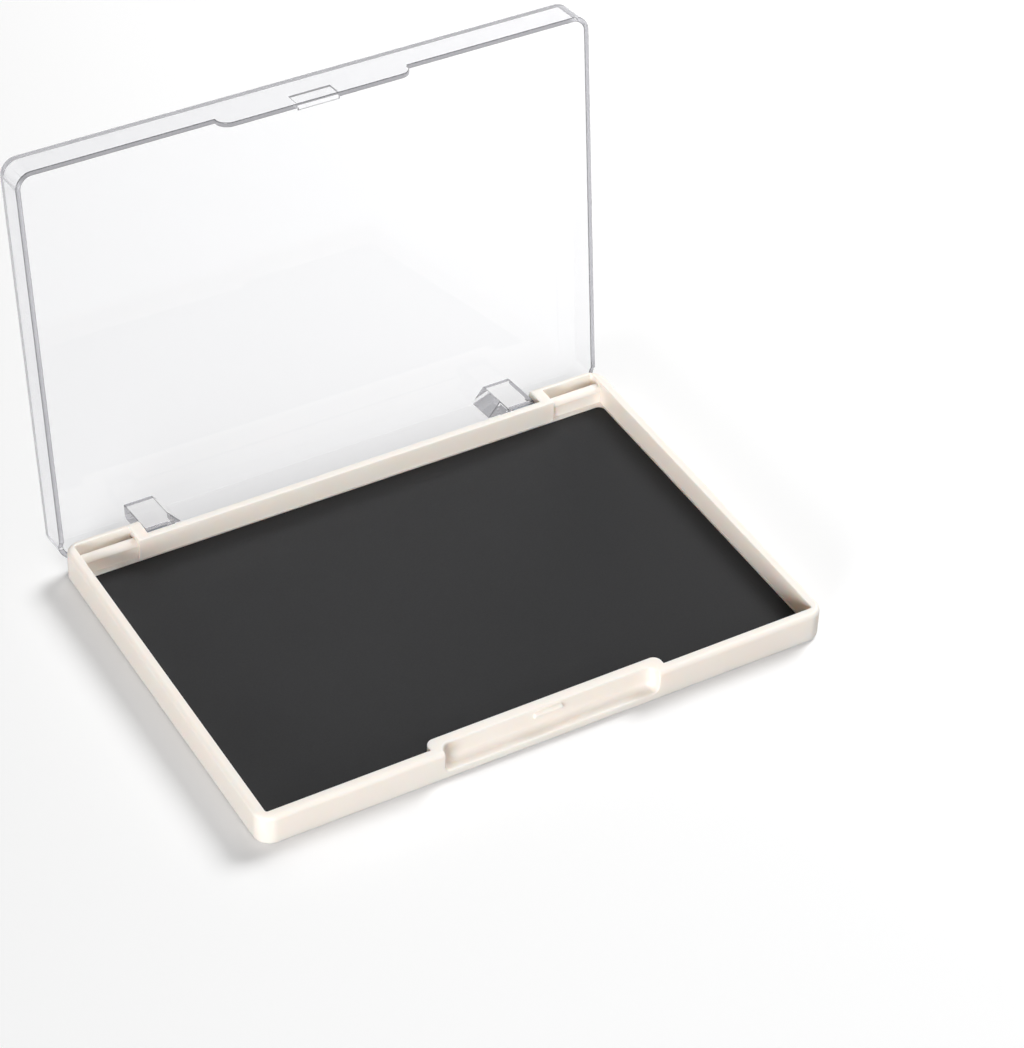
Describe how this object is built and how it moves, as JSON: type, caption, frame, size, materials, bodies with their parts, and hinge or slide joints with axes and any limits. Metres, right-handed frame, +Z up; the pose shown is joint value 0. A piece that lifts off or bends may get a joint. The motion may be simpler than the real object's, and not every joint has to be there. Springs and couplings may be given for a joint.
{
  "type": "magnetic needle case",
  "caption": "Flat flip-top case: a cream moulded tray with a black magnet sheet that holds needles and pins, a thumb scoop with a snap latch, and a clear lid on a pin hinge.",
  "frame": {"origin": "middle of the tray's underside, on the surface that the case lies on", "axes": "+X along the hinge and the long side, +Y from the thumb scoop to the hinge, +Z up out of the tray"},
  "size_m": [0.105, 0.0904, 0.0752],
  "materials": {
    "cream_plastic": "satin injection moulding",
    "ferrite_rubber": "matte calendered sheet",
    "adhesive": "plain",
    "clear_plastic": "polished clear moulding",
    "pin_steel": "drawn and cut"
  },
  "bodies": {
    "base": {"base_tray": "cream_plastic", "magnet_sheet": "ferrite_rubber", "adhesive_film": "adhesive", "hinge_pin_left": "pin_steel", "hinge_pin_right": "pin_steel"},
    "lid": {"lid": "clear_plastic"}
  },
  "joints": [
    {"name": "lid_hinge", "type": "hinge", "parent": "base", "child": "lid", "pos_m": [0, 0.035, 0.0038], "axis": [1, 0, 0], "range_deg": [0, 97.38]}
  ]
}
